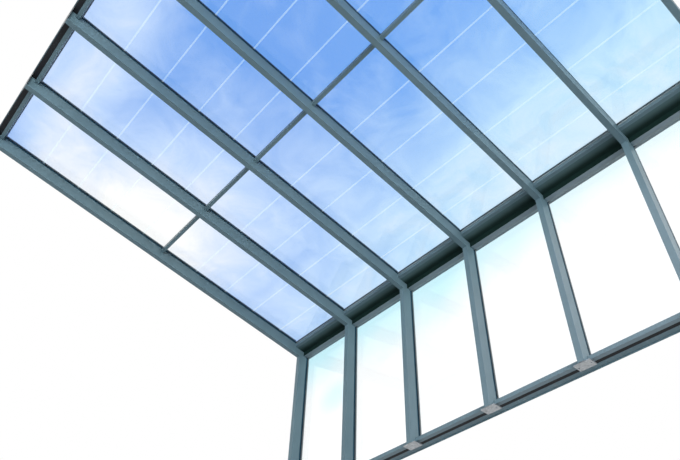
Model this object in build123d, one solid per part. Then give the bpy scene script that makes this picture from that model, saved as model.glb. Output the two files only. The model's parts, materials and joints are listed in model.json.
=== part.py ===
from build123d import *
import os
from math import cos, radians, sin, tan

os.makedirs("parts", exist_ok=True)

# Layout, in millimetres and degrees
bay_count = 6
bay_pitch = 1000.0  # from bar centre to bar centre
roof_pitch = 10.0
knee_height = 2000.0  # from the underside of the sill feet to the inner corner of the knee
eave_offset = 83.0  # up the slope from the knee to the middle of the eave transom
pane_pitch = 2240.0  # from transom centre to transom centre
ridge_overrun = 58.0  # from the middle of the ridge transom to the wall
head_height = 23.0  # from the knee up to the underside of the head transom
sill_lift = 40.0  # from the underside of the feet to the underside of the sill transom

# Extruded bars
bar_width = 60.0
rafter_depth = 147.0
mullion_depth = 120.0
bar_wall = 3.0
groove_width = 5.0
groove_depth = 4.0
groove_inset = 9.0  # from the side of the bar to the middle of its gasket groove
nose_height = 10.0
nose_wall = 3.0
screw_slot = 5.0

# Transoms
transom_width = 40.0
transom_depth = 50.0
transom_wall = 2.5
spigot_length = 45.0
spigot_clearance = 0.2

# Sealed glass units
roof_inner_lite = 8.0
roof_outer_lite = 6.0
front_inner_lite = 6.0
front_outer_lite = 6.0
cavity = 16.0
spacer_width = 7.0
edge_seal = 5.0  # from the edge of the glass to the spacer
edge_cover = 17.0  # glass on the bar
joint_gap = 16.0  # between lower and upper unit
setting_length = 100.0
setting_inset = 90.0  # from the side of the unit to the setting block
seal_depth = 8.0

# Gaskets, plates and caps
gasket_height = 12.0
gasket_foot_clearance = 0.2
transom_gasket_width = 12.0
outer_gasket_width = 12.0
outer_gasket_height = 4.0
plate_width = 46.0
plate_thickness = 4.0
plate_lip = 6.0
lip_thickness = 2.5
cap_depth = 14.0
cap_wall = 2.0

# Sheet metal
sheet = 2.0
tape = 3.0  # sealing tape between flashing and glass
flashing_lap = 23.0  # flashing over the edge of the glass
head_lap = 11.0  # the same at the top of the front glass
flashing_gap = 3.0  # between flashing and the ends of plates and caps
drip = 12.0
sill_projection = 55.0
sill_fall = 8.0
ridge_upstand = 150.0
side_lap = 40.0
closure_flange = 40.0
block_gap = 8.0  # between the edge of a unit and the packer that its setting block bears on

# Anchors
foot_plate = 10.0
foot_width = 160.0
foot_length = 110.0
foot_hole_spacing = 120.0
anchor_hole = 14.0
tongue_length = 120.0
wall_plate_width = 170.0
wall_plate_height = 150.0
wall_hole_spacing = 130.0
knee_wall = 6.0
knee_leg = 90.0

# Sizes that follow
half_bar = bar_width / 2
nose_width = screw_slot + 2 * nose_wall
glass_edge = half_bar - edge_cover  # from the middle of the bar to the edge of the unit
roof_unit = roof_inner_lite + cavity + roof_outer_lite
front_unit = front_inner_lite + cavity + front_outer_lite
anchor_line = mullion_depth / 2
pitch_cos = cos(radians(roof_pitch))
pitch_sin = sin(radians(roof_pitch))
pitch_tan = tan(radians(roof_pitch))
mid_offset = eave_offset + pane_pitch
ridge_offset = mid_offset + pane_pitch
rafter_reach = (ridge_offset + ridge_overrun) * pitch_cos
clear_bay = bay_pitch - bar_width
sill_centre = sill_lift + transom_width / 2
head_centre = knee_height + head_height + transom_width / 2

bar_places = [(index - bay_count / 2) * bay_pitch for index in range(bay_count + 1)]
bay_places = [place + bay_pitch / 2 for place in bar_places[:-1]]

# Two working frames: x along the eave, -y up the glass, z out through the glass.
# The roof frame starts at the knee, on the undersides of the rafters.
# The front frame starts at the underside of the feet, on the inner faces of the mullions.
roof_frame = Location((0, -anchor_line, knee_height), (-roof_pitch, 0, 0))
front_frame = Location((0, -anchor_line, 0), (-90, 0, 0))

# Planes that trim the bars: plumb at the knee and at the wall, and sloping along the rafters' shoulders
knee_plane = Plane(origin=(0, -anchor_line, 0), z_dir=(0, -1, 0))
wall_y = -anchor_line - rafter_reach
wall_plane = Plane(origin=(0, wall_y, 0), z_dir=(0, 1, 0))


def roof_point(up, out):
    """Row y and z of a point in the roof frame, up the slope and out of the rafters' undersides."""
    y = -anchor_line - up * pitch_cos + out * pitch_sin
    z = knee_height + up * pitch_sin + out * pitch_cos
    return (y, z)


def roof_height(y, out):
    """Height of the roof-frame plane at the given level above the point y."""
    return knee_height + (out - (y + anchor_line) * pitch_sin) / pitch_cos


def block(x_range, up_range, out_range):
    """Box in a working frame."""
    size = [high - low for low, high in (x_range, up_range, out_range)]
    middle = [(high + low) / 2 for low, high in (x_range, up_range, out_range)]
    return Pos(middle[0], -middle[1], middle[2]) * Box(*size)


def polygon(points):
    return make_face(Polyline(*points, close=True))


def mirrored(points):
    """Closed outline from its right half, listed from the bottom up."""
    return points + [(-x, y) for x, y in reversed(points)]


def lengthwise(points, low, high):
    """Prism of a section (across, out), running up the glass from low to high."""
    return extrude(Plane.XZ.offset(low) * polygon(points), amount=high - low)


def crosswise(points, low, high):
    """Prism of a section given in row y and z, running along the eave."""
    return extrude(Plane.YZ.offset(low) * polygon(points), amount=high - low)


def folded(points, thickness):
    """Outline of a folded sheet whose right-hand face follows the points."""
    vectors = [Vector(*point) for point in points]
    normals = []
    for start, end in zip(vectors, vectors[1:]):
        along = (end - start).normalized()
        normals.append(Vector(-along.Y, along.X))
    offset = [vectors[0] + normals[0] * thickness]
    for point, before, after in zip(vectors[1:-1], normals, normals[1:]):
        middle = (before + after).normalized()
        offset.append(point + middle * (thickness / middle.dot(before)))
    offset.append(vectors[-1] + normals[-1] * thickness)
    return points + [(v.X, v.Y) for v in reversed(offset)]


def save(name, pieces):
    shape = pieces[0] if len(pieces) == 1 else Compound(children=list(pieces))
    export_step(shape, f"parts/{name}.step")


def at_bars(piece):
    return [Pos(x, 0, 0) * piece for x in bar_places]


def at_bays(piece):
    return [Pos(x, 0, 0) * piece for x in bay_places]


# Section of rafters and mullions: box, shoulder with two gasket grooves, and nose with a screw slot
def bar_section(depth):
    groove_outer = half_bar - groove_inset + groove_width / 2
    groove_inner = groove_outer - groove_width
    outline = mirrored([
        (half_bar, 0),
        (half_bar, depth),
        (groove_outer, depth),
        (groove_outer, depth - groove_depth),
        (groove_inner, depth - groove_depth),
        (groove_inner, depth),
        (nose_width / 2, depth),
        (nose_width / 2, depth + nose_height),
        (screw_slot / 2, depth + nose_height),
        (screw_slot / 2, depth),
    ])
    chamber_top = depth - groove_depth - bar_wall
    chamber = mirrored([(half_bar - bar_wall, bar_wall), (half_bar - bar_wall, chamber_top)])
    return polygon(outline) - polygon(chamber)


def bar(depth, low, high):
    return extrude(Plane.XZ.offset(low) * bar_section(depth), amount=high - low)


def make_rafter():
    long_bar = roof_frame * bar(rafter_depth, -bar_width, ridge_offset + ridge_overrun + bar_width)
    return split(split(long_bar, knee_plane), wall_plane)


def make_mullion():
    shoulder = Plane(origin=(0, *roof_point(0, rafter_depth)), z_dir=(0, -pitch_sin, -pitch_cos))
    long_bar = front_frame * bar(mullion_depth, foot_plate, knee_height + 2 * rafter_depth)
    return split(long_bar, shoulder)


rafter = make_rafter()
mullion = make_mullion()
for index, place in enumerate(bar_places, start=1):
    save(f"rafter_{index}", [Pos(place, 0, 0) * rafter])
    save(f"mullion_{index}", [Pos(place, 0, 0) * mullion])


# Transoms: boxes between the bars, flush with the bars' shoulders
def transom(centre, depth):
    up = (centre - transom_width / 2, centre + transom_width / 2)
    out = (depth - transom_depth, depth)
    inner_up = (up[0] + transom_wall, up[1] - transom_wall)
    inner_out = (out[0] + transom_wall, out[1] - transom_wall)
    across = (-clear_bay / 2, clear_bay / 2)
    return block(across, up, out) - block(across, inner_up, inner_out)


def spigots(centre, depth):
    """The two blocks inside the ends of a transom."""
    inset = transom_wall + spigot_clearance
    up = (centre - transom_width / 2 + inset, centre + transom_width / 2 - inset)
    out = (depth - transom_depth + inset, depth - inset)
    end = clear_bay / 2
    return [block((end - spigot_length, end), up, out), block((-end, spigot_length - end), up, out)]


transom_rows = {
    "mid": (roof_frame, mid_offset, rafter_depth),
    "eave": (roof_frame, eave_offset, rafter_depth),
    "ridge": (roof_frame, ridge_offset, rafter_depth),
    "head": (front_frame, head_centre, mullion_depth),
    "sill": (front_frame, sill_centre, mullion_depth),
}
spigot_pieces = []
for name, (frame, centre, depth) in transom_rows.items():
    save(f"{name}_transoms", at_bays(frame * transom(centre, depth)))
    for piece in spigots(centre, depth):
        spigot_pieces += at_bays(frame * piece)
save("transom_spigots", spigot_pieces)


# Sealed units: inner and outer lite round a spacer frame
def lites(up, level, inner, outer):
    across = (glass_edge - bay_pitch / 2, bay_pitch / 2 - glass_edge)
    inner_lite = block(across, up, (level, level + inner))
    outer_lite = block(across, up, (level + inner + cavity, level + inner + cavity + outer))
    return [inner_lite, outer_lite]


def spacer(up, level, inner):
    outside = bay_pitch / 2 - glass_edge - edge_seal
    inside = outside - spacer_width
    out = (level + inner, level + inner + cavity)
    ring = block((-outside, outside), (up[0] + edge_seal, up[1] - edge_seal), out)
    margin = edge_seal + spacer_width
    return ring - block((-inside, inside), (up[0] + margin, up[1] - margin), out)


roof_level = rafter_depth + gasket_height
front_level = mullion_depth + gasket_height
lower_unit = (eave_offset, mid_offset - joint_gap / 2)
upper_unit = (mid_offset + joint_gap / 2, ridge_offset)
front_pane = (sill_centre, head_centre)
unit_rows = {
    "roof_glass_lower": (roof_frame, lower_unit, roof_level, roof_inner_lite, roof_outer_lite),
    "roof_glass_upper": (roof_frame, upper_unit, roof_level, roof_inner_lite, roof_outer_lite),
    "front_glass": (front_frame, front_pane, front_level, front_inner_lite, front_outer_lite),
}
spacer_pieces = []
for name, (frame, up, level, inner, outer) in unit_rows.items():
    unit = [frame * lite for lite in lites(up, level, inner, outer)]
    for index, place in enumerate(bay_places, start=1):
        save(f"{name}_{index}", [Pos(place, 0, 0) * lite for lite in unit])
    spacer_pieces += at_bays(frame * spacer(up, level, inner))
save("unit_spacers", spacer_pieces)


# Setting blocks carry the units' lower edges, on the transoms
def setting_blocks(up, out):
    end = bay_pitch / 2 - glass_edge - setting_inset
    across = [(end - setting_length, end), (-end, setting_length - end)]
    return [block(place, up, out) for place in across]


roof_face = roof_level + roof_unit
front_face = front_level + front_unit
setting_places = [
    (roof_frame, (lower_unit[0] - block_gap, lower_unit[0]), (rafter_depth, roof_face)),
    (roof_frame, (lower_unit[1], upper_unit[0]), (rafter_depth, roof_face - seal_depth)),
    (front_frame, (front_pane[0] - block_gap, front_pane[0]), (mullion_depth, front_face)),
]
setting_pieces = []
for frame, up, out in setting_places:
    for piece in setting_blocks(up, out):
        setting_pieces += at_bays(frame * piece)
save("setting_blocks", setting_pieces)


# Inner gaskets: a strip on each side of each bay, its foot in the groove of the bar
def bar_gaskets(depth, up):
    foot_middle = half_bar - groove_inset
    foot_half = groove_width / 2 - gasket_foot_clearance
    foot_bottom = depth - groove_depth + gasket_foot_clearance
    section = [
        (glass_edge, depth),
        (foot_middle - foot_half, depth),
        (foot_middle - foot_half, foot_bottom),
        (foot_middle + foot_half, foot_bottom),
        (foot_middle + foot_half, depth),
        (half_bar, depth),
        (half_bar, depth + gasket_height),
        (glass_edge, depth + gasket_height),
    ]
    left = Pos(-bay_pitch / 2, 0, 0) * lengthwise(section, *up)
    right = Pos(bay_pitch / 2, 0, 0) * lengthwise([(-x, out) for x, out in section], *up)
    return [left, right]


def transom_gasket(up, depth):
    return block((-clear_bay / 2, clear_bay / 2), up, (depth, depth + gasket_height))


inner_gasket_pieces = []
for piece in bar_gaskets(rafter_depth, (lower_unit[0], upper_unit[1])):
    inner_gasket_pieces += at_bays(roof_frame * piece)
for piece in bar_gaskets(mullion_depth, front_pane):
    inner_gasket_pieces += at_bays(front_frame * piece)
save("inner_gaskets", inner_gasket_pieces)

half_transom = transom_width / 2
gasket_rows = [
    (roof_frame, eave_offset + half_transom - transom_gasket_width, rafter_depth),
    (roof_frame, mid_offset - half_transom, rafter_depth),
    (roof_frame, mid_offset + half_transom - transom_gasket_width, rafter_depth),
    (roof_frame, ridge_offset - half_transom, rafter_depth),
    (front_frame, head_centre - half_transom, mullion_depth),
    (front_frame, sill_centre + half_transom - transom_gasket_width, mullion_depth),
]
transom_gasket_pieces = []
for frame, low, depth in gasket_rows:
    piece = frame * transom_gasket((low, low + transom_gasket_width), depth)
    transom_gasket_pieces += at_bays(piece)
save("transom_gaskets", transom_gasket_pieces)


# Outer gaskets, thermal isolators, pressure plates and caps on every bar
def outer_gaskets(face, up):
    outer = plate_width / 2
    inner = outer - outer_gasket_width
    out = (face, face + outer_gasket_height)
    return [block((inner, outer), up, out), block((-outer, -inner), up, out)]


def isolators(depth, level, up):
    outer = nose_width / 2
    inner = screw_slot / 2
    out = (depth + nose_height, level)
    return [block((inner, outer), up, out), block((-outer, -inner), up, out)]


def pressure_plate(level, up):
    half = plate_width / 2
    top = level + plate_thickness
    section = mirrored([
        (half, level),
        (half, top + plate_lip),
        (half - lip_thickness, top + plate_lip),
        (half - lip_thickness, top),
    ])
    return lengthwise(section, *up)


def cap(level, up):
    outer = plate_width / 2 + cap_wall
    inner = plate_width / 2
    foot = level + outer_gasket_height / 4
    section = mirrored([
        (inner, level + cap_depth - cap_wall),
        (inner, foot),
        (outer, foot),
        (outer, level + cap_depth),
    ])
    return lengthwise(section, *up)


roof_cap_range = (
    lower_unit[0] + flashing_lap + flashing_gap,
    upper_unit[1] - flashing_lap - flashing_gap,
)
front_cap_range = (
    front_pane[0] + flashing_lap + flashing_gap,
    front_pane[1] - head_lap - drip - flashing_gap,
)
clamp_rows = {
    "rafter": (roof_frame, rafter_depth, roof_face, roof_cap_range),
    "mullion": (front_frame, mullion_depth, front_face, front_cap_range),
}
outer_gasket_pieces = []
isolator_pieces = []
for name, (frame, depth, face, up) in clamp_rows.items():
    level = face + outer_gasket_height
    for piece in outer_gaskets(face, up):
        outer_gasket_pieces += at_bars(frame * piece)
    for piece in isolators(depth, level, up):
        isolator_pieces += at_bars(frame * piece)
    save(f"{name}_pressure_plates", at_bars(frame * pressure_plate(level, up)))
    save(f"{name}_caps", at_bars(frame * cap(level, up)))
save("outer_gaskets", outer_gasket_pieces)
save("thermal_isolators", isolator_pieces)

# Weather seals: the flush joint between lower and upper units, and the tapes under the flashings
unit_across = (glass_edge - bay_pitch / 2, bay_pitch / 2 - glass_edge)
seal_places = [
    (roof_frame, (lower_unit[1], upper_unit[0]), (roof_face - seal_depth, roof_face)),
    (roof_frame, (lower_unit[0], lower_unit[0] + flashing_lap), (roof_face, roof_face + tape)),
    (roof_frame, (upper_unit[1] - flashing_lap, upper_unit[1]), (roof_face, roof_face + tape)),
    (front_frame, (front_pane[0], front_pane[0] + flashing_lap), (front_face, front_face + tape)),
    (front_frame, (front_pane[1] - head_lap, front_pane[1]), (front_face, front_face + tape)),
]
seal_pieces = []
for frame, up, out in seal_places:
    seal_pieces += at_bays(frame * block(unit_across, up, out))
save("weather_seals", seal_pieces)

# Rigid packers fill the rebate between the units and the flashings, at eave, ridge, sill and sides
inner_y = -anchor_line
shoulder_y = inner_y + mullion_depth
flashing_level = roof_face + tape
flashing_y = inner_y + front_face + tape
packer_clearance = nose_width / 2 + spigot_clearance
eave_outline = [
    roof_point(lower_unit[0] - block_gap, rafter_depth),
    roof_point(lower_unit[0] - block_gap, flashing_level),
    (flashing_y, roof_height(flashing_y, flashing_level)),
    (flashing_y, front_pane[1] + block_gap),
    (shoulder_y, front_pane[1] + block_gap),
    (shoulder_y, roof_height(shoulder_y, rafter_depth)),
]
ridge_outline = [
    roof_point(upper_unit[1] + block_gap, rafter_depth),
    roof_point(upper_unit[1] + block_gap, flashing_level),
    (wall_y, roof_height(wall_y, flashing_level)),
    (wall_y, roof_height(wall_y, rafter_depth)),
]
sill_outline = [
    (shoulder_y, sill_lift),
    (flashing_y, sill_lift),
    (flashing_y, front_pane[0] - block_gap),
    (shoulder_y, front_pane[0] - block_gap),
]
bay_span = (packer_clearance - bay_pitch / 2, bay_pitch / 2 - packer_clearance)
left_bar = bar_places[0]
right_bar = bar_places[-1]
end_spans = [
    (left_bar - half_bar, left_bar - packer_clearance),
    (right_bar + packer_clearance, right_bar + half_bar),
]
packer_pieces = []
for outline in (eave_outline, ridge_outline, sill_outline):
    packer_pieces += at_bays(crosswise(outline, *bay_span))
    packer_pieces += [crosswise(outline, *span) for span in end_spans]
for span in end_spans:
    roof_out = (rafter_depth, roof_face - sheet)
    front_out = (mullion_depth, front_face - sheet)
    packer_pieces.append(roof_frame * block(span, roof_cap_range, roof_out))
    packer_pieces.append(front_frame * block(span, front_cap_range, front_out))
save("edge_packers", packer_pieces)

# Dark folded sheets that line the recess between eave and head transoms
soffit_level = rafter_depth - transom_depth
eave_side = eave_offset - half_transom
recess_y = shoulder_y - transom_depth - sheet
closure = folded([
    roof_point(eave_side, soffit_level + closure_flange),
    roof_point(eave_side, soffit_level),
    (recess_y, roof_height(recess_y, soffit_level)),
    (recess_y, knee_height + head_height),
], sheet)
closure_piece = crosswise(closure, -clear_bay / 2, clear_bay / 2)
save("eave_closure_panels", at_bays(closure_piece))

# Flashings
wall_back = wall_y - foot_plate
flashing_span = (left_bar - half_bar - sheet, right_bar + half_bar + sheet)
head_low = front_pane[1] - head_lap
eave_flashing = folded([
    roof_point(lower_unit[0] + flashing_lap, flashing_level),
    (flashing_y, roof_height(flashing_y, flashing_level)),
    (flashing_y, head_low),
    (flashing_y + drip, head_low - drip),
], sheet)
save("eave_flashing", [crosswise(eave_flashing, *flashing_span)])
ridge_foot = roof_height(wall_back, flashing_level)
ridge_flashing = folded([
    (wall_back, ridge_foot + ridge_upstand),
    (wall_back, ridge_foot),
    roof_point(upper_unit[1] - flashing_lap, flashing_level),
], sheet)
save("ridge_flashing", [crosswise(ridge_flashing, *flashing_span)])
sill_nose = flashing_y + sill_projection
sill_flashing = folded([
    (flashing_y, front_pane[0] + flashing_lap),
    (flashing_y, sill_lift),
    (sill_nose, sill_lift - sill_fall),
    (sill_nose, sill_lift - sill_fall - drip),
], sheet)
save("sill_flashing", [crosswise(sill_flashing, *flashing_span)])


# Side flashings: folded strips clamped on the end bars, and flat cheeks at knee, ridge and sill
def side_strip(depth, face, up):
    section = folded([
        (packer_clearance, face - sheet),
        (half_bar, face - sheet),
        (half_bar, depth - side_lap),
    ], sheet)
    return lengthwise(section, *up), lengthwise([(-x, out) for x, out in section], *up)


side_level = rafter_depth - side_lap
side_y = shoulder_y - side_lap
knee_cheek = [
    roof_point(roof_cap_range[0], side_level),
    roof_point(roof_cap_range[0], flashing_level),
    (flashing_y, roof_height(flashing_y, flashing_level)),
    (flashing_y, front_cap_range[1]),
    (side_y, front_cap_range[1]),
    (side_y, roof_height(side_y, side_level)),
]
ridge_cheek = [
    roof_point(roof_cap_range[1], side_level),
    roof_point(roof_cap_range[1], flashing_level),
    (wall_y, roof_height(wall_y, flashing_level)),
    (wall_y, roof_height(wall_y, side_level)),
]
sill_cheek = [
    (side_y, sill_lift),
    (flashing_y, sill_lift),
    (flashing_y, front_cap_range[0]),
    (side_y, front_cap_range[0]),
]
side_pieces = []
for frame, depth, face, up in clamp_rows.values():
    right_strip, left_strip = side_strip(depth, face, up)
    side_pieces.append(frame * Pos(right_bar, 0, 0) * right_strip)
    side_pieces.append(frame * Pos(left_bar, 0, 0) * left_strip)
for outline in (knee_cheek, ridge_cheek, sill_cheek):
    side_pieces.append(crosswise(outline, right_bar + half_bar, right_bar + half_bar + sheet))
    side_pieces.append(crosswise(outline, left_bar - half_bar - sheet, left_bar - half_bar))
save("side_flashings", side_pieces)


# Sill feet and wall brackets: a plate with two anchor holes, and a box spigot inside the bar
def box_spigot(depth, up):
    half = half_bar - bar_wall - spigot_clearance
    low = bar_wall + spigot_clearance
    high = depth - groove_depth - bar_wall - spigot_clearance
    outside = block((-half, half), up, (low, high))
    inside = half - knee_wall
    return outside - block((-inside, inside), up, (low + knee_wall, high - knee_wall))


foot_base = Pos(0, 0, foot_plate / 2) * Box(foot_width, foot_length, foot_plate)
foot = foot_base + front_frame * box_spigot(mullion_depth, (foot_plate, foot_plate + tongue_length))
for side in (-1, 1):
    place = (side * foot_hole_spacing / 2, 0, foot_plate / 2)
    foot -= Pos(*place) * Cylinder(anchor_hole / 2, 2 * foot_plate)
save("sill_feet", at_bars(foot))

wall_centre = roof_height(wall_y, rafter_depth / 2)
wall_plate_box = Box(wall_plate_width, foot_plate, wall_plate_height)
wall_plate = Pos(0, wall_y - foot_plate / 2, wall_centre) * wall_plate_box
rafter_end = ridge_offset + ridge_overrun
long_spigot = roof_frame * box_spigot(rafter_depth, (rafter_end - tongue_length, rafter_end + bar_width))
bracket = wall_plate + split(long_spigot, wall_plane)
for side in (-1, 1):
    place = (side * wall_hole_spacing / 2, wall_y - foot_plate / 2, wall_centre)
    bracket -= Pos(*place) * Rot(90, 0, 0) * Cylinder(anchor_hole / 2, 2 * foot_plate)
save("wall_brackets", at_bars(bracket))

# Knee cleats: channels welded to the mullions, inside the lower ends of the rafters
cleat_half = half_bar - bar_wall - spigot_clearance
cleat_low = roof_height(inner_y - knee_leg, bar_wall) + spigot_clearance
cleat_high = roof_height(inner_y, rafter_depth - groove_depth - bar_wall) - spigot_clearance
cleat_outline = mirrored([
    (cleat_half - knee_wall, inner_y - knee_wall),
    (cleat_half - knee_wall, inner_y - knee_leg),
    (cleat_half, inner_y - knee_leg),
    (cleat_half, inner_y),
])
cleat = extrude(Plane.XY.offset(cleat_low) * polygon(cleat_outline), amount=cleat_high - cleat_low)
save("knee_cleats", at_bars(cleat))
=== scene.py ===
import json
import math
import bpy
from mathutils import Matrix, Vector


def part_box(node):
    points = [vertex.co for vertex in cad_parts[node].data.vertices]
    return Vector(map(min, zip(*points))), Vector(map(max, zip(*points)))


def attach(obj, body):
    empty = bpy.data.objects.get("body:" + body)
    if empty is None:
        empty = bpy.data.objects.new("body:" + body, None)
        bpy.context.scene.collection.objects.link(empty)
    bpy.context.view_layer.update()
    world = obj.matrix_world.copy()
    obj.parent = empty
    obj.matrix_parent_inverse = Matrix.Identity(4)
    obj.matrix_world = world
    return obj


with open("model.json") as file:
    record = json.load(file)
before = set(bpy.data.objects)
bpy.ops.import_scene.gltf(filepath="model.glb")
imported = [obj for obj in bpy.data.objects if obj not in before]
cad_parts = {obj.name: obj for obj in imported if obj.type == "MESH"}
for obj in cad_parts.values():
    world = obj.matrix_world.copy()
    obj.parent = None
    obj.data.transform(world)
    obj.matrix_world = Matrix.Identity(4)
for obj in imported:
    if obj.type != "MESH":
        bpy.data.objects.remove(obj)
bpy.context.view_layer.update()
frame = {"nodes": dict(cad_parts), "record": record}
scene = bpy.context.scene

# Sizes in metres. Both glass planes have a working frame: x along the eave, -y up the glass, z out of it.
glazing = {
    "slope": math.radians(10.0),
    "innerFace": 0.060,  # from the line of the anchors in to the mullions' inner faces
    "knee": 2.0,  # height where the inner faces of rafters and mullions meet
    "rafterDepth": 0.147,
    "mullionDepth": 0.120,
    "gasket": 0.012,
    "roofUnit": 0.030,
    "frontUnit": 0.028,
    "outerLite": 0.006,
    "eave": 0.083,  # up the slope from the knee to the lower edge of the roof glass
    "ridge": 4.563,  # and to its upper edge
    "sill": 0.060,  # lower edge of the front units
    "head": 2.043,  # upper edge of the front units
    "barWidth": 0.060,
    "tapeAndSheet": 0.005,  # from the glass to the outside of the eave flashing
}
anchors = [m for m in frame["record"]["mounts"] if m["name"].startswith("sill_anchor")]
barPlaces = sorted(m["pos_m"][0] for m in anchors)
bayPitch = barPlaces[1] - barPlaces[0]
bayCount = len(barPlaces) - 1
roofPlace = (Matrix.Translation((0, -glazing["innerFace"], glazing["knee"]))
             @ Matrix.Rotation(-glazing["slope"], 4, "X"))
frontPlace = Matrix.Translation((0, -glazing["innerFace"], 0)) @ Matrix.Rotation(-math.pi / 2, 4, "X")
print("frame loaded,", bayCount, "bays of", round(bayPitch, 3), "m")


# Node helpers
def put(tree, kind, values=None, **settings):
    node = tree.nodes.new(kind)
    for key, value in settings.items():
        setattr(node, key, value)
    for key, value in (values or {}).items():
        node.inputs[key].default_value = value
    return node


def wire(tree, *steps):
    # each step is (node, output, node, input)
    for source, output, target, entry in steps:
        tree.links.new(source.outputs[output], target.inputs[entry])


def newGroup(name, kind, inputs, outputs):
    group = bpy.data.node_groups.new(name, kind)
    for label, socketType, value in inputs:
        socket = group.interface.new_socket(name=label, in_out="INPUT", socket_type=socketType)
        if value is not None:
            socket.default_value = value
    for label, socketType in outputs:
        group.interface.new_socket(name=label, in_out="OUTPUT", socket_type=socketType)
    return group, group.nodes.new("NodeGroupInput"), group.nodes.new("NodeGroupOutput")


colourSocket = "NodeSocketColor"
floatSocket = "NodeSocketFloat"
vectorSocket = "NodeSocketVector"


# Shader groups
def makeGrainGroup():
    group, start, end = newGroup(
        "coatGrain", "ShaderNodeTree",
        [("Vector", vectorSocket, None), ("Colour", colourSocket, (0.5, 0.5, 0.5, 1)),
         ("Shade", colourSocket, (0.4, 0.4, 0.4, 1)), ("Mottle Scale", floatSocket, 1.4),
         ("Grain Scale", floatSocket, 300.0), ("Smooth", floatSocket, 0.35), ("Rough", floatSocket, 0.5)],
        [("Colour", colourSocket), ("Roughness", floatSocket), ("Height", floatSocket)])
    mottle = put(group, "ShaderNodeTexNoise", {"Detail": 4.0, "Roughness": 0.6})
    spread = put(group, "ShaderNodeMapRange", {"From Min": 0.36, "From Max": 0.64})
    tone = put(group, "ShaderNodeMix", data_type="RGBA")
    grain = put(group, "ShaderNodeTexNoise", {"Detail": 2.0})
    gloss = put(group, "ShaderNodeMapRange", {"From Min": 0.3, "From Max": 0.7})
    wire(group,
         (start, "Vector", mottle, "Vector"), (start, "Mottle Scale", mottle, "Scale"),
         (mottle, "Fac", spread, "Value"), (spread, "Result", tone, 0),
         (start, "Colour", tone, 6), (start, "Shade", tone, 7), (tone, 2, end, "Colour"),
         (start, "Vector", grain, "Vector"), (start, "Grain Scale", grain, "Scale"),
         (grain, "Fac", gloss, "Value"), (start, "Smooth", gloss, "To Min"),
         (start, "Rough", gloss, "To Max"), (gloss, "Result", end, "Roughness"),
         (grain, "Fac", end, "Height"))
    return group


def makeDustGroup():
    group, start, end = newGroup(
        "settledDust", "ShaderNodeTree",
        [("Vector", vectorSocket, None), ("Colour", colourSocket, (0.5, 0.5, 0.5, 1)),
         ("Dust", colourSocket, (0.45, 0.44, 0.42, 1)), ("Amount", floatSocket, 0.3),
         ("Scale", floatSocket, 9.0)],
        [("Colour", colourSocket), ("Mask", floatSocket)])
    surface = put(group, "ShaderNodeNewGeometry")
    split = put(group, "ShaderNodeSeparateXYZ")
    facing = put(group, "ShaderNodeMapRange", {"From Min": 0.15, "From Max": 0.95})
    cloud = put(group, "ShaderNodeTexNoise", {"Detail": 6.0, "Roughness": 0.65})
    patch = put(group, "ShaderNodeMapRange", {"From Min": 0.35, "From Max": 0.7})
    both = put(group, "ShaderNodeMath", operation="MULTIPLY")
    dosed = put(group, "ShaderNodeMath", operation="MULTIPLY")
    tone = put(group, "ShaderNodeMix", data_type="RGBA")
    wire(group,
         (surface, "Normal", split, "Vector"), (split, "Z", facing, "Value"),
         (start, "Vector", cloud, "Vector"), (start, "Scale", cloud, "Scale"), (cloud, "Fac", patch, "Value"),
         (facing, "Result", both, 0), (patch, "Result", both, 1),
         (both, "Value", dosed, 0), (start, "Amount", dosed, 1), (dosed, "Value", end, "Mask"),
         (dosed, "Value", tone, 0), (start, "Colour", tone, 6), (start, "Dust", tone, 7),
         (tone, 2, end, "Colour"))
    return group


def makeStreakGroup():
    group, start, end = newGroup(
        "runStreaks", "ShaderNodeTree",
        [("Vector", vectorSocket, None), ("Colour", colourSocket, (0.5, 0.5, 0.5, 1)),
         ("Streak", colourSocket, (0.3, 0.3, 0.3, 1)), ("Amount", floatSocket, 0.3),
         ("Stretch", vectorSocket, (30.0, 1.2, 1.2)), ("Threshold", floatSocket, 0.52)],
        [("Colour", colourSocket), ("Mask", floatSocket)])
    scaled = put(group, "ShaderNodeVectorMath", operation="MULTIPLY")
    runs = put(group, "ShaderNodeTexNoise", {"Scale": 1.0, "Detail": 5.0, "Roughness": 0.6})
    cut = put(group, "ShaderNodeMapRange", {"From Max": 0.78})
    dosed = put(group, "ShaderNodeMath", operation="MULTIPLY")
    tone = put(group, "ShaderNodeMix", data_type="RGBA")
    wire(group,
         (start, "Vector", scaled, 0), (start, "Stretch", scaled, 1), (scaled, 0, runs, "Vector"),
         (runs, "Fac", cut, "Value"), (start, "Threshold", cut, "From Min"),
         (cut, "Result", dosed, 0), (start, "Amount", dosed, 1), (dosed, "Value", end, "Mask"),
         (dosed, "Value", tone, 0), (start, "Colour", tone, 6), (start, "Streak", tone, 7),
         (tone, 2, end, "Colour"))
    return group


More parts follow.
